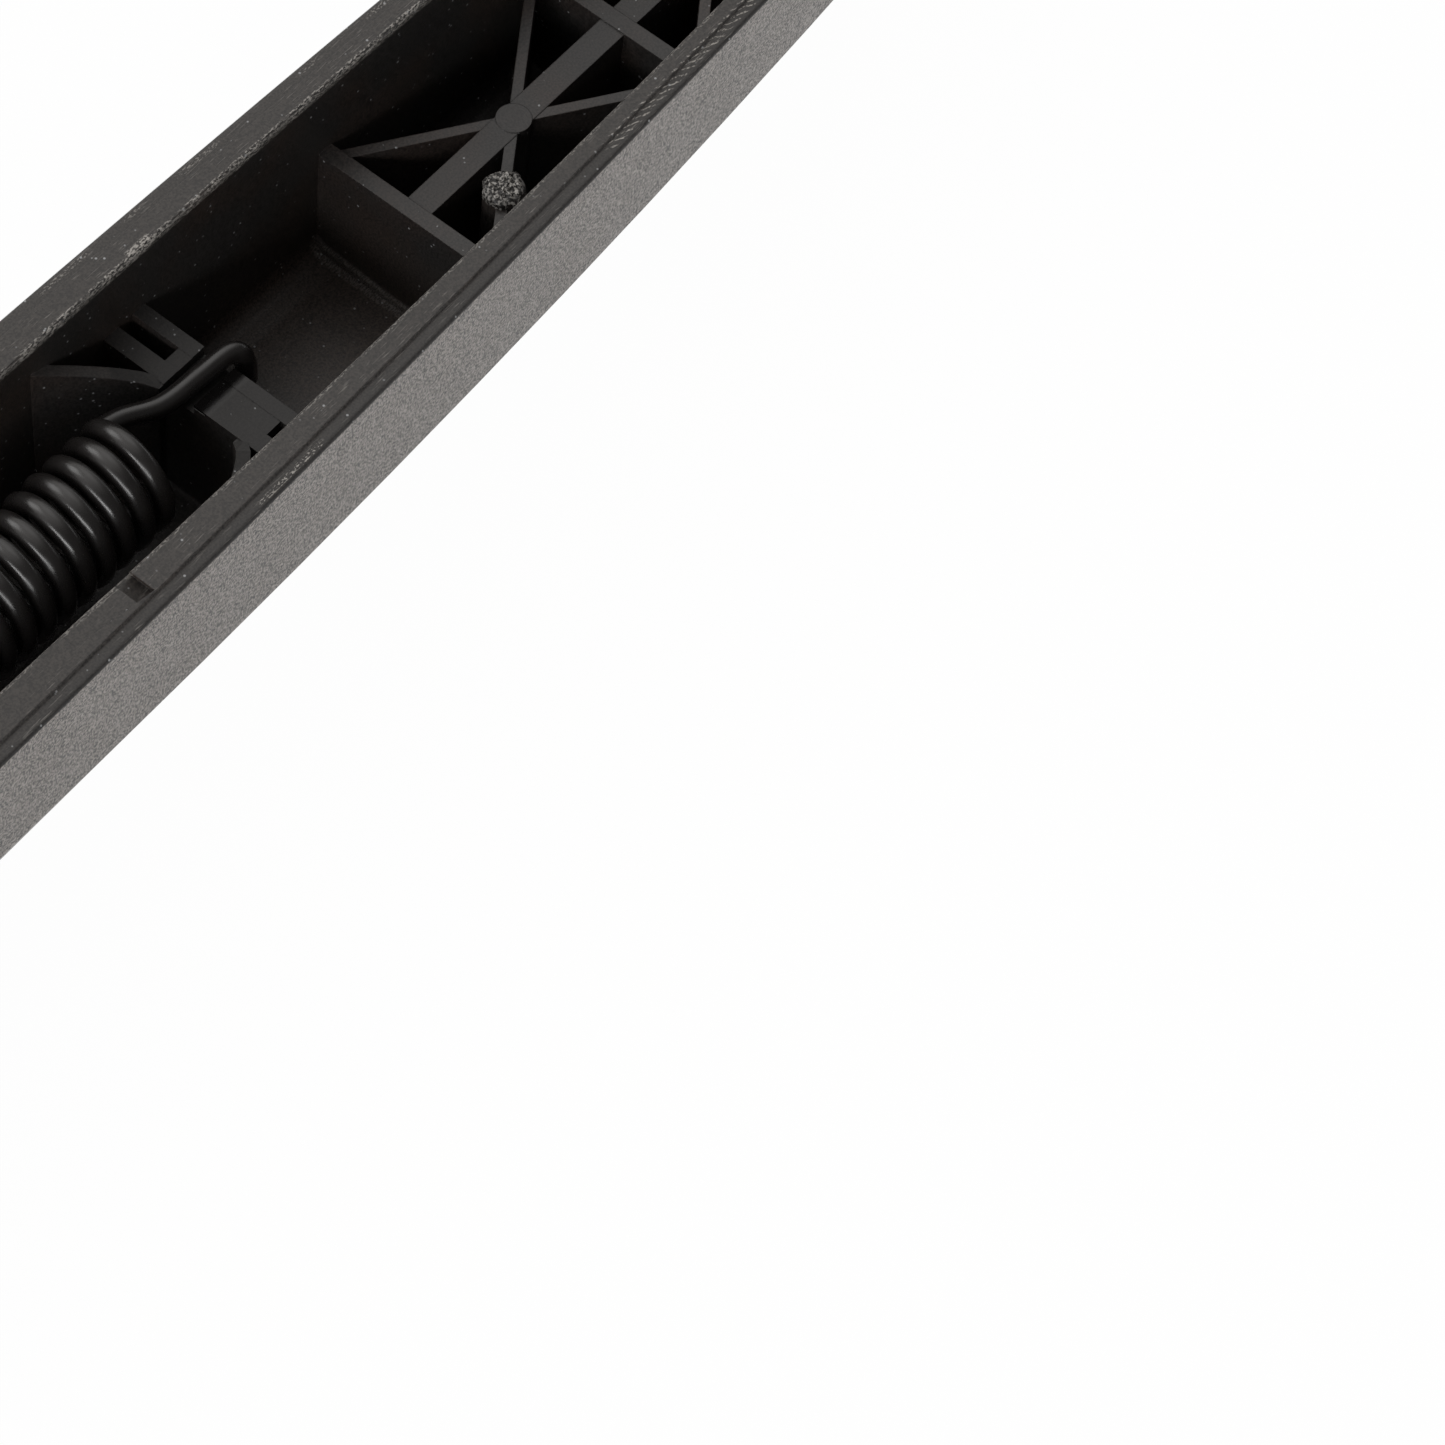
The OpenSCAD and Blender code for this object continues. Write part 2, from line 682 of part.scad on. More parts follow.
module striker_hub() {
    nose_dir = open_deg - 180;
    nose_to = [pivot_x, pivot_z] + (nose_r - nose_t / 2) * [cos(nose_dir), sin(nose_dir)];
    color(black)
        difference() {
            union() {
                across(pivot_x, pivot_z, hub_r, hub_half);
                for (side = [-1, 1]) {
                    near = side > 0 ? cheek_in : -cheek_in - cheek_t;
                    arm_plate([crank_x, axis_z], hub_r - 0.6, crank_boss_r, near, near + cheek_t);
                    translate([socket_front_x, side * socket_y, bow_z])
                        rotate([0, 90, 0])
                            cylinder(r = socket_r, h = socket_len + socket_back);
                    translate([pivot_x - socket_back, side * socket_y - socket_r, bow_z])
                        cube([2 * socket_back, 2 * socket_r, pivot_z - bow_z]);
                }
                arm_plate(nose_to, nose_t / 2 + 0.15, nose_t / 2, -nose_half, nose_half);
            }
            across(pivot_x, pivot_z, pivot_d / 2 + run_clear, bore_reach);
            across(crank_x, axis_z, crank_pin_d / 2 + seat_clear, bore_reach);
            for (side = [-1, 1])
                translate([socket_front_x - 1, side * socket_y, bow_z])
                    rotate([0, 90, 0])
                        cylinder(r = bow_r + seat_clear, h = pivot_x - hub_r - socket_front_x + 1.6);
        }
}

module crank_pin() {
    half = cheek_in + cheek_t;
    color(steel) {
        across(crank_x, axis_z, crank_pin_d / 2, half + 0.5);
        translate([crank_x, half + 0.55, axis_z])
            rotate([90, 0, 0])
                cylinder(r = crank_pin_d / 2 + 0.5, h = 0.5);
    }
}

// Points of a rounded corner at b, between the lines to a and c
function corner_arc(a, b, c, r, steps) =
    let (u = unit(a - b), v = unit(c - b), half = acos(u * v) / 2,
         mid = b + unit(u + v) * r / sin(half), p = b + u * r / tan(half), q = b + v * r / tan(half))
    [for (i = [0 : steps]) mid + unit((p - mid) * (1 - i / steps) + (q - mid) * i / steps) * r];

function bow_path() =
    let (root_x = pivot_x - hub_r + 0.4,
         root = [root_x, socket_y, bow_z],
         elbow = [elbow_x, socket_y, bow_z],
         shoulder = [shoulder_x, bow_half, bow_z],
         corner = [bow_front_x, bow_half, bow_z],
         middle = [bow_front_x, 0, bow_z],
         side = concat([root],
             corner_arc(root, elbow, shoulder, leg_bend, 5),
             corner_arc(elbow, shoulder, corner, leg_bend, 5),
             corner_arc(shoulder, corner, middle, bow_bend, 9)))
    concat(side, [for (i = [len(side) - 1 : -1 : 0]) [side[i][0], -side[i][1], side[i][2]]]);

module strike_bow() {
    color(steel)
        loft(wire_rings(bow_path(), bow_r, [0, 0, 1], 16));
}

module grip_sleeve() {
    rib_pitch = 2;
    ribs = floor((grip_len - 3) / rib_pitch);
    color(black)
        difference() {
            union() {
                across(bow_front_x, bow_z, grip_d / 2 - 0.4, grip_len / 2);
                for (i = [0 : ribs])
                    translate([0, (i - ribs / 2) * rib_pitch, 0])
                        across(bow_front_x, bow_z, grip_d / 2, 0.6);
            }
            across(bow_front_x, bow_z, bow_r + seat_clear, grip_len);
        }
}

module trip_latch() {
    color("#c9b23a")
        difference() {
            union() {
                across(latch_x, latch_z, barrel_r, barrel_half);
                translate([latch_x, latch_half, latch_z])
                    rotate([0, -latch_deg, 0])
                        rotate([90, 0, 0])
                            linear_extrude(2 * latch_half)
                                polygon(concat([[-barrel_r + 0.3, 0]],
                                    [for (a = [-12 : 4 : 4]) hold_r * [sin(hold_deg + a), cos(hold_deg + a)]],
                                    [[barrel_r - 0.3, 0]]));
                // Toe over the treadle's arm
                translate([latch_x, -latch_half, latch_z - toe_drop])
                    cube([toe_len, 2 * latch_half, toe_t]);
                translate([latch_x, -latch_half, latch_z - toe_drop])
                    cube([pin_r + 0.7, 2 * latch_half, toe_drop]);
            }
            across(latch_x, latch_z, pin_r + run_clear, bore_reach);
        }
}

module latch_pin() {
    color(steel)
        across(latch_x, latch_z, pin_r, cheek_half + cheek_wall);
}

module treadle() {
    plate_len = plate_rear_x - plate_front_x;
    color("#c9b23a")
        difference() {
            union() {
                across(treadle_x, treadle_z, barrel_r, barrel_half);
                // Arm under the latch's toe
                translate([treadle_x, -latch_half, arm_top - arm_t])
                    cube([arm_len, 2 * latch_half, arm_t]);
                // Neck up to the plate
                translate([treadle_x, barrel_half, treadle_z])
                    rotate([90, 0, 0])
                        linear_extrude(2 * barrel_half)
                            polygon([[0, 0.4 - barrel_r], [-1.2, 0.4 - barrel_r],
                                     [-neck_len - 1, plate_top - treadle_t - treadle_z],
                                     [-neck_len - 1, plate_top - treadle_z], [1.5 - neck_len, plate_top - treadle_z],
                                     [0, barrel_r - 0.2]]);
                translate([plate_front_x + plate_len / 2, 0, plate_top - treadle_t])
                    linear_extrude(treadle_t)
                        polygon(round_rect(plate_len / 2, treadle_half, 4));
                // Raised ribs under foot
                for (side = [-1, 1], i = [0 : 2])
                    translate([plate_front_x + 2, side * (cup_d / 2 + 2.6 + 2.2 * i) - 0.4, plate_top - eps])
                        cube([plate_len - 4, 0.8, 0.4]);
            }
            across(treadle_x, treadle_z, pin_r + run_clear, bore_reach);
            translate([cup_x, 0, 0])
                cylinder(d = cup_d + 2 * seat_clear, h = deck_h + cup_depth);
        }
}

module treadle_pin() {
    color(steel)
        across(treadle_x, treadle_z, pin_r, cheek_half + cheek_wall);
}

module bait_cup() {
    top = plate_top + cup_flange_t;
    color("#c9b23a")
        translate([cup_x, 0, 0])
            difference() {
                union() {
                    translate([0, 0, top - cup_depth - cup_wall])
                        cylinder(d1 = cup_d - 1, d2 = cup_d, h = cup_depth + cup_wall);
                    translate([0, 0, plate_top])
                        cylinder(d = cup_d + 2 * cup_flange, h = cup_flange_t);
                }
                translate([0, 0, top - cup_depth])
                    cylinder(d1 = cup_d - 1 - 2 * cup_wall, d2 = cup_d - 2 * cup_wall, h = cup_depth + eps);
            }
}

base();
main_spring();
pivot_pin();
pivot_clip();
striker_hub();
crank_pin();
strike_bow();
grip_sleeve();
trip_latch();
latch_pin();
treadle();
treadle_pin();
bait_cup();
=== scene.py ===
"""Looks for a black plastic snap mouse trap: materials, fine main spring, torn gate, studio and camera."""

import math
from types import SimpleNamespace

import bmesh
import bpy
from mathutils import Matrix, Vector, noise


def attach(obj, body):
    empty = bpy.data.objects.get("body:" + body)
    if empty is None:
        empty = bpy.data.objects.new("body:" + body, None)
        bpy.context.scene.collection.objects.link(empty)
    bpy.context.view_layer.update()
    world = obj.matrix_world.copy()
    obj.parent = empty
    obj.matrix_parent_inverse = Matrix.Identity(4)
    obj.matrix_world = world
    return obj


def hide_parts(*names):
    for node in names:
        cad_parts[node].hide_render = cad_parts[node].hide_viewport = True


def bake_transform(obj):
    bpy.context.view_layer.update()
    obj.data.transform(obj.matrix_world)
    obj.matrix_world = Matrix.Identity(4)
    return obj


MM = 0.001

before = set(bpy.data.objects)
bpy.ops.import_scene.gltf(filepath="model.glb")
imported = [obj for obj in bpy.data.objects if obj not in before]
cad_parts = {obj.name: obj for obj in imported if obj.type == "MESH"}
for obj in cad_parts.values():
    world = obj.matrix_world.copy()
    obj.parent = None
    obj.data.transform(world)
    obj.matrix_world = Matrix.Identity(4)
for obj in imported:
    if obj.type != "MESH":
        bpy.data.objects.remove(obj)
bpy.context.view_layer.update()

# Sizes of the trap in millimetres, the same as the solids have
RIM_H = 18.6
WALL_X = 26.5
END_X = 74.6
ANCHOR_REAR_X = 9.0
ANCHOR_FRONT_X = 5.0
ANCHOR_TOP = RIM_H - 6.21
GROOVE_EDGE_Y = 0.15
RIB_TOP = RIM_H - 6.92
NICK_X = -10.2
GATE_AT = (32.61, -3.475, RIB_TOP + 0.25)
GATE_R = 1.45
# Half width of the rim at the cross wall, its growth towards the deck and its bow
OUTER_RIM = (10.4, 0.0295, 0.0002)
INNER_RIM = (7.82, 0.0137, 0.0003)
FLARE_LEN = 48.0

# Main spring in millimetres. Its turns are drawn a little closer than in the solid
AXIS_Z = 11.8
WIRE_R = 0.75
COIL_R = 3.5
COIL_PITCH = 1.86
COIL_TURNS = 10
COIL_START = 45
FIRST_COIL_X = ANCHOR_FRONT_X - 6.6
COIL_END_X = FIRST_COIL_X - COIL_PITCH * COIL_TURNS
HOOK_Y = 1.4
HOOK_Z = ANCHOR_TOP + WIRE_R - 0.7
HOOK_END_X = ANCHOR_REAR_X + WIRE_R + 0.8
CRANK_X = -30.6
# The spring's pull seats the eye against the front of the crank pin
EYE_X = CRANK_X + 0.075
EYE_R = 2.085
EYE_NEAR_X = EYE_X + EYE_R
EYE_TURNS = range(-50, -292, -6)
WIRE_SIDES = 16
RINGS_PER_TURN = 32
STEPS_PER_STRETCH = 8

# Where the marks and the painted light lie along the trap, in millimetres
CURL_X = (7.9, 9.9)
DOTTED_X = (-0.6, 5.0)
CHATTER_X = (36.5, 58.0)
PAINTED_LIGHT_X = (17.0, WALL_X)
# Widths of the grains in millimetres
ERODED_GRAIN = 0.15
POLISHED_GRAIN = 0.17
FLECK_GRAIN = 0.12


def linear(code):
    """Linear RGBA of an sRGB hex colour."""
    parts = [int(code[i:i + 2], 16) / 255 for i in (1, 3, 5)]
    return [c / 12.92 if c <= 0.04045 else ((c + 0.055) / 1.055) ** 2.4 for c in parts] + [1.0]


def node(tree, kind, inputs=None, **settings):
    """Adds one shader node with its settings, and fills its inputs or links them to nodes or sockets."""
    made = tree.nodes.new("ShaderNode" + kind)
    for name, value in settings.items():
        setattr(made, name, value)
    for socket, value in (inputs or {}).items():
        if isinstance(value, bpy.types.Node):
            value = next(out for out in value.outputs if out.enabled)
        if isinstance(value, bpy.types.NodeSocket):
            tree.links.new(value, made.inputs[socket])
        else:
            made.inputs[socket].default_value = value
    return made


def new_material(name):
    """Empty material, its node tree and the place on the piece in metres."""
    material = bpy.data.materials.new(name)
    material.use_nodes = True
    tree = material.node_tree
    tree.nodes.clear()
    return material, tree, node(tree, "TexCoord").outputs["Object"]


def all_of(tree, *shares):
    """Shares multiplied together, so that masks hold only where all of them do."""
    made = shares[0]
    for share in shares[1:]:
        made = node(tree, "Math", {0: made, 1: share}, operation="MULTIPLY")
    return made


def any_of(tree, *shares):
    """The strongest of several shares."""
    made = shares[0]
    for share in shares[1:]:
        made = node(tree, "Math", {0: made, 1: share}, operation="MAXIMUM")
    return made


# MapRange's inputs are 0 the value, 1 and 2 its range, 3 and 4 what that becomes, 0 to 1 unless told.
# A Mix of colours takes the share as 0 and the colours as 6 and 7.
def between(tree, value, low, high, soft):
    """1 where value lies between low and high, fading out over soft on each side."""
    return all_of(tree, node(tree, "MapRange", {0: value, 1: low - soft, 2: low}),
                  node(tree, "MapRange", {0: value, 1: high + soft, 2: high}))


def grain(tree, place, size_mm, detail=2.0, stretch=(1, 1, 1)):
    """Noise whose lumps are about size_mm wide, 0 to 1."""
    scaled = node(tree, "Mapping", {"Vector": place, "Scale": [s / (size_mm * MM) for s in stretch]})
    return node(tree, "TexNoise", {"Vector": scaled, "Scale": 1.0, "Detail": detail})


def moulding_regions(tree, place):
    """Where on the base a point lies: places in mm, and masks of 0 to 1 for each finish."""
    in_mm = node(tree, "VectorMath", {0: place, "Scale": 1 / MM}, operation="SCALE")
    x, y, z = node(tree, "SeparateXYZ", {0: in_mm}).outputs
    flat_normal = node(tree, "NewGeometry").outputs["True Normal"]
    facing_x, facing_y, facing_z = node(tree, "SeparateXYZ", {0: flat_normal}).outputs
    across = node(tree, "Math", {0: y}, operation="ABSOLUTE")
    from_wall = node(tree, "Math", {0: x, 1: WALL_X}, operation="SUBTRACT")
    along = node(tree, "Math", {0: from_wall, 1: -FLARE_LEN}, operation="MAXIMUM")
    bowed = all_of(tree, along, along)

    def half_width(half, taper, bow):
        sloped = node(tree, "Math", {0: along, 1: -taper, 2: half}, operation="MULTIPLY_ADD")
        return node(tree, "Math", {0: bowed, 1: -bow, 2: sloped}, operation="MULTIPLY_ADD")

    from_outer = node(tree, "Math", {0: half_width(*OUTER_RIM), 1: across}, operation="SUBTRACT")
    from_inner = node(tree, "Math", {0: across, 1: half_width(*INNER_RIM)}, operation="SUBTRACT")

    # Outer faces: the two sides, both ends, the tip's rounding and the underside
    outward = all_of(tree, node(tree, "Math", {0: y}, operation="SIGN"), facing_y)
    endward = all_of(tree, node(tree, "Math", {0: x}, operation="SIGN"), facing_x)
    side = all_of(tree, node(tree, "MapRange", {0: outward, 1: 0.3, 2: 0.4}),
                  node(tree, "Math", {0: from_inner, 1: 0.08}, operation="GREATER_THAN"))
    far_out = node(tree, "Math", {0: x}, operation="ABSOLUTE")
    end = all_of(tree, node(tree, "MapRange", {0: endward, 1: 0.3, 2: 0.4}),
                 node(tree, "Math", {0: far_out, 1: END_X}, operation="GREATER_THAN"))
    tip = all_of(tree, node(tree, "MapRange", {0: x, 1: END_X - 3.6, 2: END_X - 3.1}),
                 node(tree, "MapRange", {0: any_of(tree, outward, endward), 1: 0.15, 2: 0.3}))
    under = node(tree, "MapRange", {0: facing_z, 1: -0.1, 2: -0.3})
    outside = all_of(tree, any_of(tree, side, end, tip, under),
                     node(tree, "MapRange", {0: z, 1: RIM_H - 0.35, 2: RIM_H - 0.45}),
                     node(tree, "MapRange", {0: facing_z, 1: 0.6, 2: 0.5}))

    high = node(tree, "MapRange", {0: z, 1: RIM_H - 0.7, 2: RIM_H - 0.5})
    rim = all_of(tree, high, node(tree, "MapRange", {0: facing_z, 1: 0.8, 2: 0.9}))
    right = node(tree, "Math", {0: y, 1: 0.0}, operation="LESS_THAN")
    anchor = all_of(tree, between(tree, x, ANCHOR_FRONT_X - 4.5, ANCHOR_REAR_X + 0.5, 0.3),
                    between(tree, z, RIB_TOP - 3, ANCHOR_TOP + 1, 0.2),
                    node(tree, "MapRange", {0: facing_z, 1: 0.6, 2: 0.8}))
    # The groove's lip beside the hook: smoother, and darkened with a painted shadow of the hook wire
    lip = all_of(tree, node(tree, "MapRange", {0: y, 1: GROOVE_EDGE_Y - 1.4, 2: GROOVE_EDGE_Y}),
                 between(tree, x, ANCHOR_FRONT_X - 0.1, ANCHOR_REAR_X + 0.1, 0.1),
                 between(tree, z, ANCHOR_TOP - 0.2, ANCHOR_TOP + 0.2, 0.1),
                 node(tree, "Math", {0: y, 1: GROOVE_EDGE_Y + 0.45}, operation="LESS_THAN"))
    return SimpleNamespace(x=x, y=y, z=z, outward=outward, from_outer=from_outer, from_inner=from_inner,
                           outside=outside, high=high, rim=rim, right=right, anchor=anchor, lip=lip)


def moulding_marks_and_highlight(tree, place, at):
    """Burrs, scratches, chatter and flash of the moulding, and a painted highlight along the rim's inner
    edges, 0 to 1.
    """
    patches = grain(tree, place, 2.6)
    flecks = grain(tree, place, FLECK_GRAIN, stretch=(0.5, 1, 1))
    # Burrs along the inner edges, twice as strong on the left
    burr = all_of(tree, at.high, between(tree, at.from_inner, -0.1, 0.26, 0.08),
                  node(tree, "MapRange", {0: flecks, 1: 0.5, 2: 0.58}),
                  node(tree, "MapRange", {0: patches, 1: 0.36, 2: 0.5}),
                  node(tree, "MapRange", {0: at.y, 1: -1.0, 2: 1.0, 3: 0.55, 4: 1.0}))
    # Painted highlight: a thin pale flecked line along the rim's inner edges
    painted_edge_highlight = all_of(tree, at.high, between(tree, at.from_inner, -0.12, 0.06, 0.05),
                        node(tree, "MapRange", {0: flecks, 1: 0.36, 2: 0.56}))
    # A torn curl of burr on the left edge
    curl = all_of(tree, at.high, between(tree, at.x, *CURL_X, 0.2),
                  between(tree, at.from_inner, -0.3, 0.5, 0.15),
                  node(tree, "Math", {0: at.y, 1: 0.0}, operation="GREATER_THAN"),
                  node(tree, "MapRange", {0: flecks, 1: 0.46, 2: 0.52}))
    # Scratches along the rim: long thin noise, kept where it peaks
    threads = grain(tree, place, 0.1, 3.0, (0.08, 1, 1))
    scratch = all_of(tree, at.rim, node(tree, "MapRange", {0: threads, 1: 0.58, 2: 0.68}),
                     node(tree, "MapRange", {0: patches, 1: 0.46, 2: 0.62}), 0.35)
    # A short dotted run on the right edge, and a sparser one along the left
    left_run = all_of(tree, node(tree, "MapRange", {0: at.y, 1: -1.0, 2: 1.0}),
                      node(tree, "MapRange", {0: grain(tree, place, 5.0, 1.0), 1: 0.5, 2: 0.6}), 0.6)
    right_run = all_of(tree, at.right, between(tree, at.x, *DOTTED_X, 0.5))
    dotted = all_of(tree, at.rim, between(tree, at.from_outer, 0.32, 0.6, 0.08),
                    node(tree, "MapRange", {0: flecks, 1: 0.52, 2: 0.6}), any_of(tree, right_run, left_run))
    # Chatter: slanting ticks 0.95 mm apart on the right strip over the first bays of the tail
    slant_x = all_of(tree, at.x, 0.41)
    slant = node(tree, "Math", {0: at.y, 1: 0.91, 2: slant_x}, operation="MULTIPLY_ADD")
    ticks = node(tree, "Math", {0: slant, 1: 0.39}, operation="DIVIDE")
    wobble = node(tree, "Math", {0: grain(tree, place, 0.9), 1: 1.3, 2: ticks}, operation="MULTIPLY_ADD")
    part = node(tree, "Math", {0: wobble}, operation="FRACT")
    off_middle = node(tree, "Math", {0: part, 1: 0.5}, operation="SUBTRACT")
    phase = node(tree, "Math", {0: off_middle}, operation="ABSOLUTE")
    chatter = all_of(tree, at.right, at.rim, between(tree, at.x, *CHATTER_X, 1.0),
                     between(tree, at.from_outer, 0.5, 1.2, 0.12),
                     node(tree, "MapRange", {0: phase, 1: 0.2, 2: 0.1}),
                     node(tree, "MapRange", {0: flecks, 1: 0.43, 2: 0.54}))
    # Ragged flash along the foot of the first cross wall
    flash = all_of(tree, between(tree, at.x, WALL_X - 0.9, WALL_X - 0.1, 0.1),
                   between(tree, at.z, 1.35, 2.3, 0.15),
                   node(tree, "MapRange", {0: flecks, 1: 0.46, 2: 0.56}), 0.5)
    faint = all_of(tree, any_of(tree, painted_edge_highlight, flash), 0.5)
    return any_of(tree, burr, curl, chatter, dotted, scratch, faint)


def moulding_colour(tree, place, at, marks_and_edge_highlight, eroded, polished):
    """Colour of the moulding, laid on coat by coat."""
    brownish = node(tree, "MapRange", {0: grain(tree, place, 7.0, 3.0), 1: 0.42, 2: 0.62})
    # Painted light: a pale brownish pool on the low floor before the first cross wall
    painted_light_pool = all_of(tree, between(tree, at.x, *PAINTED_LIGHT_X, 3.0),
                  node(tree, "MapRange", {0: at.z, 1: 9.0, 2: 2.0}), 0.8)
    # Painted shade: the right rim darkens towards its outer edge
    strip = all_of(tree, at.right, at.high, node(tree, "MapRange", {0: at.from_outer, 1: 1.0, 2: 0.3}), 0.6)
    # Painted light: the small outward face of the rim's step is lightened
    step = all_of(tree, at.high, between(tree, at.from_outer, 0.9, 1.15, 0.03),
                  node(tree, "MapRange", {0: at.outward, 1: 0.2, 2: 0.4}), 0.3)
    # Outer walls: real eroded grain, painted pale grey as a painted reflection of the white floor
    eroded_grain_and_reflection = node(tree, "Mix", {0: eroded, 6: linear("#1b1816"), 7: linear("#847a71")}, data_type="RGBA")
    # Dust specks and fine lint, inside and on the rim
    specks = node(tree, "TexVoronoi", {"Vector": place, "Scale": 1 / (0.7 * MM)})
    dust = all_of(tree, node(tree, "MapRange", {0: specks, 1: 0.15, 2: 0.08}),
                  node(tree, "MapRange", {0: grain(tree, place, 1.1, 1.0), 1: 0.53, 2: 0.58}),
                  node(tree, "Math", {0: 1.0, 1: at.outside}, operation="SUBTRACT"), 0.8)
    colour = linear("#373534")
    for share, tone in (
            (brownish, linear("#3f3733")),
            (painted_light_pool, linear("#574d47")),
            (at.rim, linear("#3e3a37")),
            (all_of(tree, at.anchor, 0.9), linear("#252322")),
            # Painted shadow of the hook wire on the groove's lip
            (node(tree, "MapRange", {0: at.lip, 2: 0.5, 4: 0.95}), linear("#090808")),
            (strip, linear("#232120")),
            (step, linear("#75716d")),
            (node(tree, "MapRange", {0: polished, 1: 0.35, 2: 0.65, 3: 0.7, 4: 0.0}), linear("#0c0b0b")),
            (at.outside, eroded_grain_and_reflection),
            # Pale marks: burrs, scratches, chatter, flash, and the painted edge highlight
            (all_of(tree, marks_and_edge_highlight, 0.85), linear("#b3afa9")),
            (dust, linear("#aeb0b2"))):
        colour = node(tree, "Mix", {0: share, 6: colour, 7: tone}, data_type="RGBA")
    return colour


def moulding_roughness(tree, place, at, marks_and_edge_highlight, eroded, polished):
    """Roughness of the moulding, changed share by share."""
    rough = 0.32
    for share, change in (
            (grain(tree, place, 5.0, 4.0), 0.08),
            (polished, 0.12),
            (at.outside, node(tree, "MapRange", {0: eroded, 3: 0.08, 4: -0.12})),
            (at.anchor, 0.14),
            (node(tree, "MapRange", {0: at.lip, 2: 0.5}), -0.32),
            (marks_and_edge_highlight, 0.2)):
        rough = node(tree, "Math", {0: share, 1: change, 2: rough}, operation="MULTIPLY_ADD")
    return rough


def moulding_relief(tree, at, marks_and_edge_highlight, eroded_lumps, polished):
    """Normal of the moulding with its rounded edges, two dents and the grain."""
    # Edges are rounded by 0.1 mm, more on the rim's outside, at the foot and where the walls' flare
    # ends, and not at all on the anchor's top
    flare_end = all_of(tree, between(tree, at.x, WALL_X - FLARE_LEN - 0.9, WALL_X - FLARE_LEN + 0.9, 0.2),
                       node(tree, "MapRange", {0: at.z, 1: RIM_H - 0.6, 2: RIM_H - 0.8}))
    edge_r = 0.1 * MM
    for share, more in (
            (all_of(tree, at.high, node(tree, "MapRange", {0: at.from_outer, 1: 0.6, 2: 0.5})), 0.3 * MM),
            (node(tree, "MapRange", {0: at.z, 1: 4.0, 2: 3.0}), 0.6 * MM),
            (flare_end, 0.9 * MM)):
        edge_r = node(tree, "Math", {0: share, 1: more, 2: edge_r}, operation="MULTIPLY_ADD")
    off_anchor = node(tree, "Math", {0: 1.0, 1: at.anchor}, operation="SUBTRACT")
    rounded = node(tree, "Bevel", {"Radius": all_of(tree, edge_r, off_anchor)}, samples=6)
    # The groove's lip beside the hook and the pocket behind the rim's nick are sunk by 0.7 mm
    pocket = all_of(tree, at.right, at.rim, node(tree, "MapRange", {0: at.x, 1: NICK_X - 1.3, 2: NICK_X}),
                    node(tree, "Math", {0: at.x, 1: NICK_X + 0.05}, operation="LESS_THAN"),
                    node(tree, "Math", {0: at.from_outer, 1: 1.1}, operation="GREATER_THAN"), -0.7)
    lip_dip = all_of(tree, at.lip, at.lip)
    sunk = node(tree, "Math", {0: lip_dip, 1: -0.7, 2: pocket}, operation="MULTIPLY_ADD")
    dents = node(tree, "Bump", {"Height": sunk, "Strength": 1.0, "Distance": 1.0 * MM, "Normal": rounded})
    lumps = node(tree, "Mix", {0: at.outside, 2: all_of(tree, polished, 0.3), 3: eroded_lumps})
    height = node(tree, "Math", {0: marks_and_edge_highlight, 1: 0.5, 2: lumps}, operation="MULTIPLY_ADD")
    return node(tree, "Bump", {"Height": height, "Strength": 0.7, "Distance": 0.06 * MM, "Normal": dents})


# Moulded black ABS. The outer walls come off spark-eroded steel: their grain is real, and its pale grey is
# partly a painted reflection of the white floor.
# The rim is flat and scuffed: burrs along its inner edges with a painted highlight there, chatter ticks on
# one strip, fine scratches.
# The inside comes off polished steel: smooth, nearly black, with a little dust, and a brownish pool of
# painted light on the low floor before the first cross wall.
def moulded_abs():
    material, tree, place = new_material("moulded_black_abs")
    at = moulding_regions(tree, place)
    marks_and_edge_highlight = moulding_marks_and_highlight(tree, place, at)
    # The eroded grain is drawn a little taller than wide, so that it shows on the steep walls
    eroded_lumps = grain(tree, place, ERODED_GRAIN, 3.0, (1, 1, 0.7))
    eroded = node(tree, "MapRange", {0: eroded_lumps, 1: 0.38, 2: 0.62})
    polished = grain(tree, place, POLISHED_GRAIN)
    surface = node(tree, "BsdfPrincipled", {
        "Base Color": moulding_colour(tree, place, at, marks_and_edge_highlight, eroded, polished),
        "Roughness": moulding_roughness(tree, place, at, marks_and_edge_highlight, eroded, polished),
        "Normal": moulding_relief(tree, at, marks_and_edge_highlight, eroded_lumps, polished),
        "IOR": 1.53})
    node(tree, "OutputMaterial", {"Surface": surface})
    return material


# Torn black ABS at the broken gate: a crumpled surface with pale stress marks on its peaks
def torn_abs():
    material, tree, place = new_material("torn_black_abs")
    height = node(tree, "SeparateXYZ", {0: place}).outputs[2]
    peaks = node(tree, "MapRange", {0: height, 1: (GATE_AT[2] + 0.05) * MM, 2: (GATE_AT[2] + 0.6) * MM})
    crumbs = grain(tree, place, 0.22, 3.0)
    pale = all_of(tree, node(tree, "MapRange", {0: peaks, 1: 0.2, 2: 0.9, 3: 0.35, 4: 1.0}),
                  node(tree, "MapRange", {0: crumbs, 1: 0.48, 2: 0.58}))
    colour = node(tree, "Mix", {0: pale, 6: linear("#1f1d1c"), 7: linear("#dedad4")}, data_type="RGBA")
    surface = node(tree, "BsdfPrincipled", {
        "Base Color": colour,
        "Roughness": 0.38,
        "Normal": node(tree, "Bump", {"Height": crumbs, "Strength": 0.8, "Distance": 0.1 * MM}),
        "IOR": 1.53})
    node(tree, "OutputMaterial", {"Surface": surface})
    return material


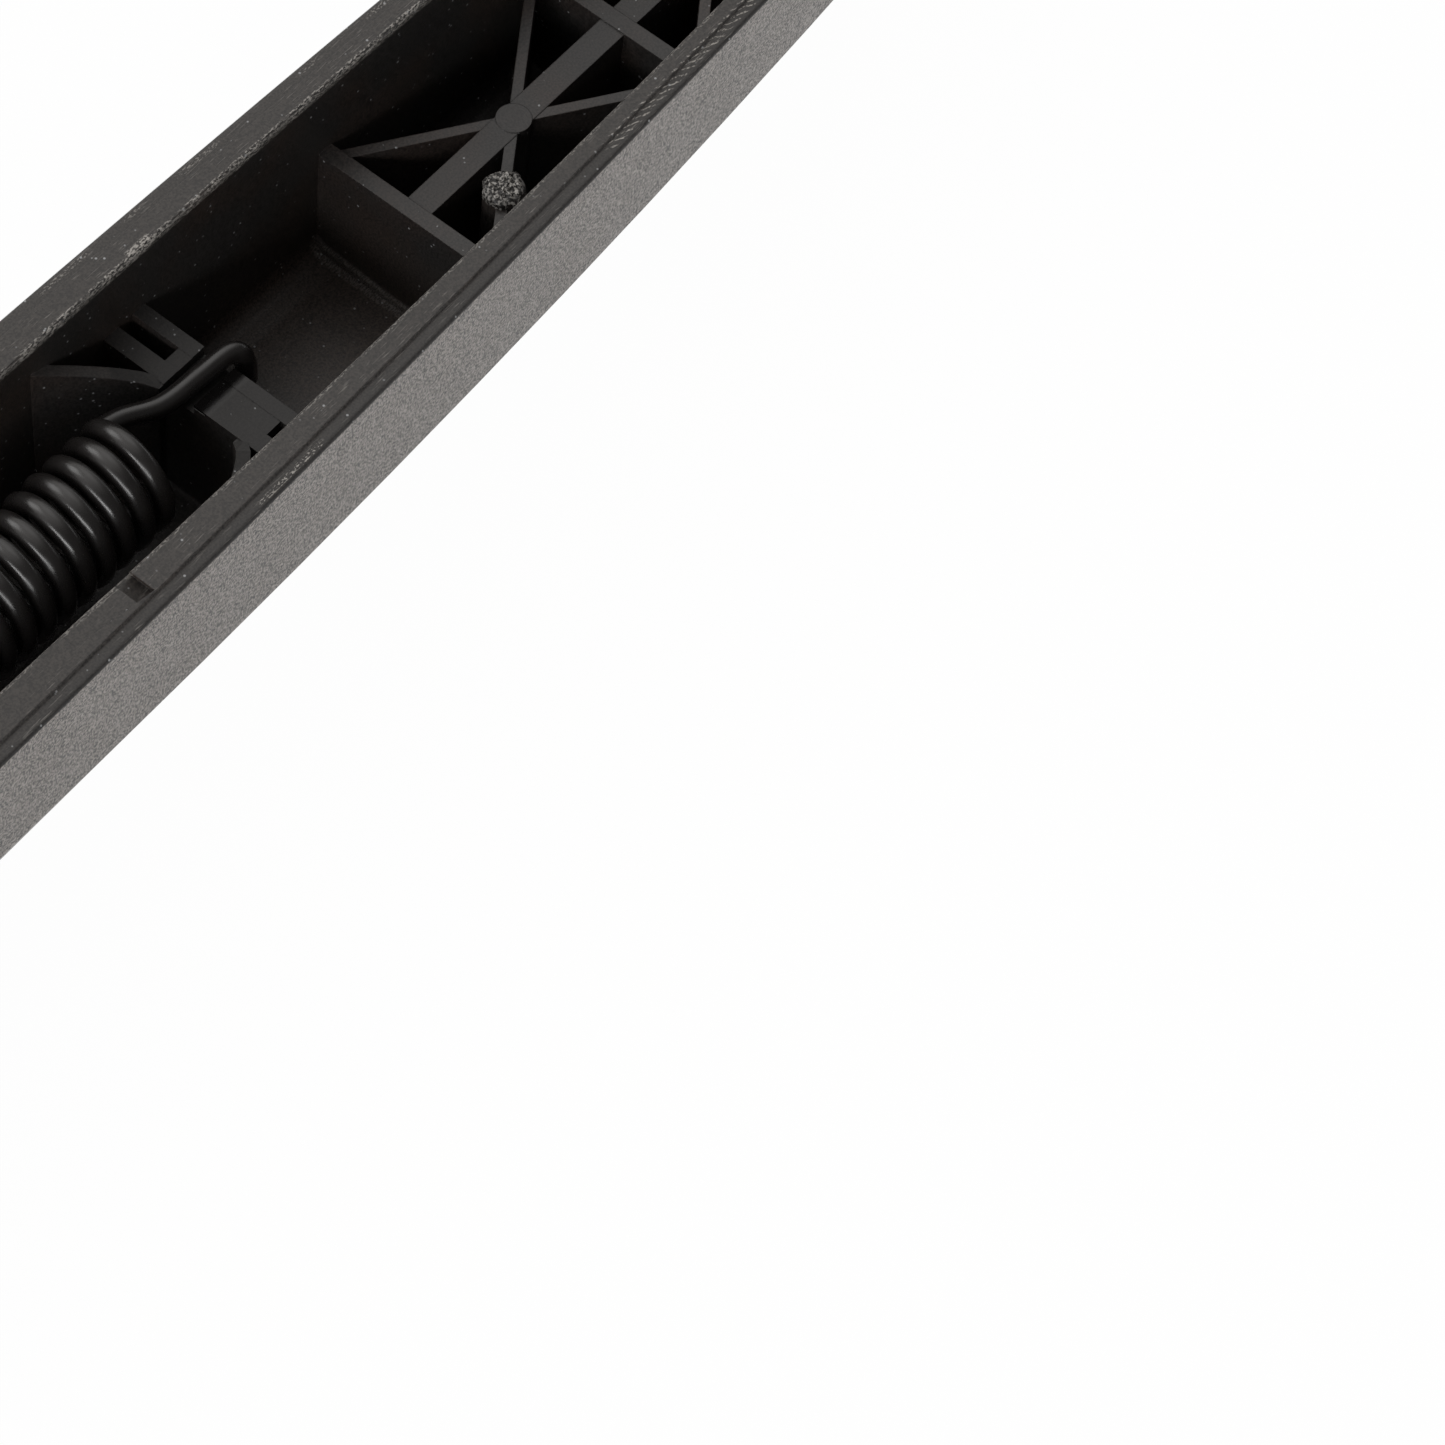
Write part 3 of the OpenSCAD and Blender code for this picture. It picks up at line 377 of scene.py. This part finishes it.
# Black oxide spring steel, oiled: near black with a wet highlight along each turn
def oiled_spring_steel():
    material, tree, place = new_material("oiled_black_spring_steel")
    mottle = grain(tree, place, 1.5, 4.0)
    drawn = grain(tree, place, 0.12)
    colour = node(tree, "Mix", {0: mottle, 6: linear("#181616"), 7: linear("#242221")}, data_type="RGBA")
    surface = node(tree, "BsdfPrincipled", {
        "Base Color": colour,
        "Roughness": node(tree, "MapRange", {0: mottle, 1: 0.3, 2: 0.7, 3: 0.22, 4: 0.34}),
        "Normal": node(tree, "Bump", {"Height": drawn, "Strength": 0.15, "Distance": 0.01 * MM}),
        "IOR": 1.6})
    node(tree, "OutputMaterial", {"Surface": surface})
    return material


# Zinc plated steel: bright, a little cloudy, with fine drawing lines
def zinc_plated_steel():
    material, tree, place = new_material("zinc_plated_steel")
    cloud = grain(tree, place, 1.8, 4.0)
    lines = grain(tree, place, 0.15, 3.0, (0.2, 1, 1))
    colour = node(tree, "Mix", {0: cloud, 6: linear("#b9bcbf"), 7: linear("#d3d4d2")}, data_type="RGBA")
    surface = node(tree, "BsdfPrincipled", {
        "Base Color": colour,
        "Metallic": 1.0,
        "Roughness": node(tree, "MapRange", {0: cloud, 1: 0.3, 2: 0.7, 3: 0.28, 4: 0.42}),
        "Normal": node(tree, "Bump", {"Height": lines, "Strength": 0.2, "Distance": 0.01 * MM})})
    node(tree, "OutputMaterial", {"Surface": surface})
    return material


# Moulded plastic of one colour: smooth satin with a faint moulding mottle
def moulded_plastic(name, deep, light, roughness, ior):
    material, tree, place = new_material(name)
    mottle = grain(tree, place, 2.5, 4.0)
    skin = grain(tree, place, 0.2)
    rounded = node(tree, "Bevel", {"Radius": 0.15 * MM}, samples=4)
    colour = node(tree, "Mix", {0: mottle, 6: linear(deep), 7: linear(light)}, data_type="RGBA")
    surface = node(tree, "BsdfPrincipled", {
        "Base Color": colour,
        "Roughness": node(tree, "MapRange", {
            0: mottle, 1: 0.3, 2: 0.7, 3: roughness - 0.04, 4: roughness + 0.06}),
        "Normal": node(tree, "Bump", {
            "Height": skin, "Strength": 0.25, "Distance": 0.02 * MM, "Normal": rounded}),
        "IOR": ior})
    node(tree, "OutputMaterial", {"Surface": surface})
    return material


ABS = moulded_abs()
TORN_ABS = torn_abs()
SPRING_STEEL = oiled_spring_steel()
ZINC = zinc_plated_steel()
NYLON = moulded_plastic("moulded_black_nylon", "#171616", "#201f1f", 0.42, 1.53)
ACETAL = moulded_plastic("moulded_yellow_acetal", "#c39a1c", "#cba42a", 0.36, 1.48)
GRIP = moulded_plastic("moulded_black_rubber", "#1c1b1b", "#262525", 0.62, 1.52)

FINISHES = {
    "base": ABS, "main_spring": SPRING_STEEL, "pivot_pin": ZINC, "pivot_clip": ZINC, "striker_hub": NYLON,
    "crank_pin": ZINC, "strike_bow": ZINC, "grip_sleeve": GRIP, "trip_latch": ACETAL, "latch_pin": ZINC,
    "treadle": ACETAL, "treadle_pin": ZINC, "bait_cup": ACETAL,
}
for name, finish in FINISHES.items():
    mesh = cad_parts[name].data
    mesh.materials.clear()
    mesh.materials.append(finish)


def placed(name, mesh, material):
    """Object in the scene made of a bmesh, with one material."""
    data = bpy.data.meshes.new(name)
    mesh.to_mesh(data)
    mesh.free()
    data.materials.append(material)
    made = bpy.data.objects.new(name, data)
    bpy.context.scene.collection.objects.link(made)
    return made


def tube(name, points, radius, sides, start, material):
    """Closed round tube along points in mm, with a frame that doesn't twist, as a smooth mesh piece."""
    points = [Vector(p) for p in points]
    count = len(points)
    mesh = bmesh.new()
    rings = []
    normal = Vector(start)
    for i, point in enumerate(points):
        along = (points[min(i + 1, count - 1)] - points[max(i - 1, 0)]).normalized()
        normal = (normal - along * normal.dot(along)).normalized()
        across = along.cross(normal)
        rings.append([
            mesh.verts.new((point + radius * (math.cos(a) * normal + math.sin(a) * across)) * MM)
            for a in (2 * math.pi * j / sides for j in range(sides))])
    for ring, after in zip(rings, rings[1:]):
        for j in range(sides):
            k = (j + 1) % sides
            mesh.faces.new((ring[j], ring[k], after[k], after[j])).smooth = True
    mesh.faces.new(reversed(rings[0]))
    mesh.faces.new(rings[-1])
    return placed(name, mesh, material)


def smooth_curve(points, steps):
    """Points of a smooth curve through the inner points, steps to each stretch."""
    made = []
    points = [Vector(p) for p in points]
    for i in range(1, len(points) - 2):
        a, b, c, d = points[i - 1:i + 3]
        for j in range(steps):
            t = j / steps
            made.append(0.5 * (2 * b + (c - a) * t + (2 * a - 5 * b + 4 * c - d) * t ** 2
                               + (3 * b - a - 3 * c + d) * t ** 3))
    return made


def coil_point(angle):
    """Middle of the wire in the turns, at degrees counted towards the anchor."""
    turn = math.radians(angle)
    x = FIRST_COIL_X + COIL_PITCH * angle / 360
    return (x, COIL_R * math.sin(turn), AXIS_Z + COIL_R * math.cos(turn))


def eye_point(angle):
    """Middle of the wire in the eye, at degrees round the crank pin."""
    turn = math.radians(angle)
    return (EYE_X + EYE_R * math.cos(turn), 0.0, AXIS_Z + EYE_R * math.sin(turn))


def spring_path():
    """Middle of the wire from the hook's end over the anchor, through the turns, to the eye on the pin."""
    hook = smooth_curve([
        (HOOK_END_X, HOOK_Y - 1.1, HOOK_Z - 4.4),
        (HOOK_END_X, HOOK_Y - 1.05, HOOK_Z - 3),
        (HOOK_END_X, HOOK_Y - 0.9, HOOK_Z - 1.5),
        (HOOK_END_X - 0.2, HOOK_Y - 0.6, HOOK_Z - 0.4),
        (HOOK_END_X - 1.05, HOOK_Y - 0.2, HOOK_Z),
        (ANCHOR_REAR_X - 2, HOOK_Y, HOOK_Z),
        (ANCHOR_FRONT_X - 1.4, HOOK_Y + 0.3, HOOK_Z),
        (ANCHOR_FRONT_X - 4, HOOK_Y + 1.55, HOOK_Z + 0.1),
        (ANCHOR_FRONT_X - 6, COIL_R, AXIS_Z + 0.7),
        coil_point(COIL_START),
        coil_point(COIL_START - 45)], STEPS_PER_STRETCH)
    turns = [coil_point(COIL_START - i * 360 / RINGS_PER_TURN)
             for i in range(COIL_TURNS * RINGS_PER_TURN + 1)]
    last = COIL_START - 360 * COIL_TURNS
    lead = smooth_curve([
        coil_point(last),
        coil_point(last - 40),
        (COIL_END_X - 0.75, -0.95, AXIS_Z + 0.73 * COIL_R),
        (COIL_END_X - 1.75, -0.55, AXIS_Z + 0.27 * COIL_R),
        (COIL_END_X - 3.1, -0.05, AXIS_Z + 0.04 * COIL_R),
        (COIL_END_X - 4.8, 0.0, AXIS_Z),
        (EYE_NEAR_X + 0.9, 0.0, AXIS_Z - 0.1),
        (EYE_NEAR_X - 0.05, 0.0, AXIS_Z - 0.75),
        eye_point(EYE_TURNS[0]),
        eye_point(EYE_TURNS[0] - 34)], STEPS_PER_STRETCH)
    return hook + turns + lead + [eye_point(a) for a in EYE_TURNS]


spring = tube("main_spring_wire", spring_path(), WIRE_R, WIRE_SIDES, (0, 1, 0), SPRING_STEEL)
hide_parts("main_spring")
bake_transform(spring)


def torn_gate(rings, sides):
    """Crumpled top of the gate stub, where the runner was broken off, with a ragged edge."""
    mesh = bmesh.new()
    centre = Vector(GATE_AT)

    def place_of(ring, spoke):
        turn = 2 * math.pi * spoke / sides
        share = ring / rings
        flat = Vector((math.cos(turn), math.sin(turn), 0))
        ragged = 1 + 0.16 * share * noise.noise(flat * 2.6 + Vector((3, 1, 5)))
        spot = centre + flat * (GATE_R * 1.02 * share * ragged)
        coarse = noise.noise(spot * 2.1 + Vector((0, 0, 9)))
        ridges = 1 - abs(noise.noise(spot * 3.7)) * 2
        lift = 0.1 + 0.26 * coarse + 0.3 * ridges * (1 - 0.5 * share ** 4)
        return (spot + Vector((0, 0, max(0.02, lift) * (1 - share ** 10)))) * MM

    top = [[mesh.verts.new(place_of(0, 0))]]
    top += [[mesh.verts.new(place_of(ring, spoke)) for spoke in range(sides)] for ring in range(1, rings + 1)]
    for spoke in range(sides):
        after = (spoke + 1) % sides
        mesh.faces.new((top[0][0], top[1][spoke], top[1][after])).smooth = True
        for inner, outer in zip(top[1:], top[2:]):
            mesh.faces.new((inner[spoke], outer[spoke], outer[after], inner[after])).smooth = True
    foot = [mesh.verts.new((vert.co.x, vert.co.y, vert.co.z - 0.5 * MM)) for vert in top[-1]]
    for spoke in range(sides):
        after = (spoke + 1) % sides
        mesh.faces.new((top[-1][spoke], foot[spoke], foot[after], top[-1][after]))
    mesh.faces.new(reversed(foot))
    return placed("gate_tear", mesh, TORN_ABS)


gate = torn_gate(rings=14, sides=56)
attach(gate, "base")

# Studio in metres: a white sweep, a soft lamp overhead, a strip low in front and a soft lamp at the side
CAMERA_AT = Vector((-123.39, -113.80, 243.54 + RIM_H)) * MM
CAMERA_TURN = Matrix((
    (0.6123648, 0.6477730, -0.4532102),
    (-0.7848533, 0.5669685, -0.2501040),
    (0.0949453, 0.5088586, 0.8555983)))
SENSOR = 36.0
FOCAL_PIXELS = 4600
IMAGE_PIXELS = 1445

camera_data = bpy.data.cameras.new("studio_camera")
camera_data.sensor_width = SENSOR
camera_data.lens = SENSOR * FOCAL_PIXELS / IMAGE_PIXELS
camera_data.clip_start = 0.01
camera_data.clip_end = 20
camera = bpy.data.objects.new("studio_camera", camera_data)
camera.matrix_world = Matrix.Translation(CAMERA_AT) @ CAMERA_TURN.to_4x4()
bpy.context.scene.collection.objects.link(camera)
bpy.context.scene.camera = camera

# How much of the paper's own white is seen, the rest is its lit surface
GLOW_SHARE = 0.98


# Matt white paper. What is seen is mostly its own white, so it stays white and keeps the trap's shadow
def white_paper():
    material, tree, _ = new_material("matt_white_paper")
    lit = node(tree, "BsdfPrincipled", {"Base Color": linear("#f4f4f3"), "Roughness": 0.9})
    glow = node(tree, "Emission", {"Color": (1, 1, 1, 1), "Strength": 1.0})
    rays = node(tree, "LightPath").outputs
    seen = any_of(tree, rays["Is Camera Ray"], rays["Is Glossy Ray"], rays["Is Transmission Ray"])
    sheet = node(tree, "MixShader", {0: all_of(tree, seen, GLOW_SHARE), 1: lit, 2: glow})
    node(tree, "OutputMaterial", {"Surface": sheet})
    return material


# White paper floor that sweeps up all round, sizes in metres
SWEEP_MIDDLE = 0.6
SWEEP_FLAT = 2.6
SWEEP_BEND = 0.8
SWEEP_SIDES = 96
profile = [(SWEEP_MIDDLE, 0.0), (SWEEP_FLAT, 0.0)]
profile += [(SWEEP_FLAT + SWEEP_BEND * math.sin(t), SWEEP_BEND * (1 - math.cos(t)))
            for t in (math.radians(6 * step) for step in range(1, 16))]
sweep = bmesh.new()
middle = sweep.verts.new((0, 0, 0))
hoops = [[sweep.verts.new((r * math.cos(turn), r * math.sin(turn), h))
          for turn in (2 * math.pi * k / SWEEP_SIDES for k in range(SWEEP_SIDES))] for r, h in profile]
for k in range(SWEEP_SIDES):
    after = (k + 1) % SWEEP_SIDES
    sweep.faces.new((middle, hoops[0][k], hoops[0][after]))
    for low, up in zip(hoops, hoops[1:]):
        sweep.faces.new((low[k], up[k], up[after], low[after])).smooth = True
floor = placed("white_sweep", sweep, white_paper())

# The air is bright behind and to the left of the trap, where the key light is, and dim at the front right
KEY_SIDE = (0.1, 0.82, 0.56)
world = bpy.data.worlds.new("studio_air")
world.use_nodes = True
air = world.node_tree
air.nodes.clear()
towards = node(air, "TexCoord").outputs["Generated"]
key_share = node(air, "VectorMath", {0: towards, 1: KEY_SIDE}, operation="DOT_PRODUCT").outputs["Value"]
strength = node(air, "MapRange", {0: key_share, 1: 0.2, 2: 0.85, 3: 0.12, 4: 0.92},
                interpolation_type="SMOOTHSTEP")
background = node(air, "Background", {"Color": linear("#fffcf9"), "Strength": strength})
node(air, "OutputWorld", {"Surface": background})
bpy.context.scene.world = world


def lamp(name, at, size, power):
    """Soft lamp of a width and height at a place in metres, turned to the trap."""
    data = bpy.data.lights.new(name, "AREA")
    data.shape = "RECTANGLE"
    data.size, data.size_y = size
    data.energy = power
    made = bpy.data.objects.new(name, data)
    made.location = at
    made.rotation_euler = (-Vector(at)).to_track_quat("-Z", "Y").to_euler()
    bpy.context.scene.collection.objects.link(made)


lamp("overhead_softbox", at=(0.5, 0.4, 0.89), size=(0.7, 0.7), power=0.6)
lamp("front_strip", at=(-0.93, -0.28, 0.42), size=(1.3, 0.2), power=6.0)
lamp("side_softbox", at=(-0.2, 0.85, 0.6), size=(0.6, 0.6), power=2.0)

bpy.context.scene.view_settings.view_transform = "Standard"
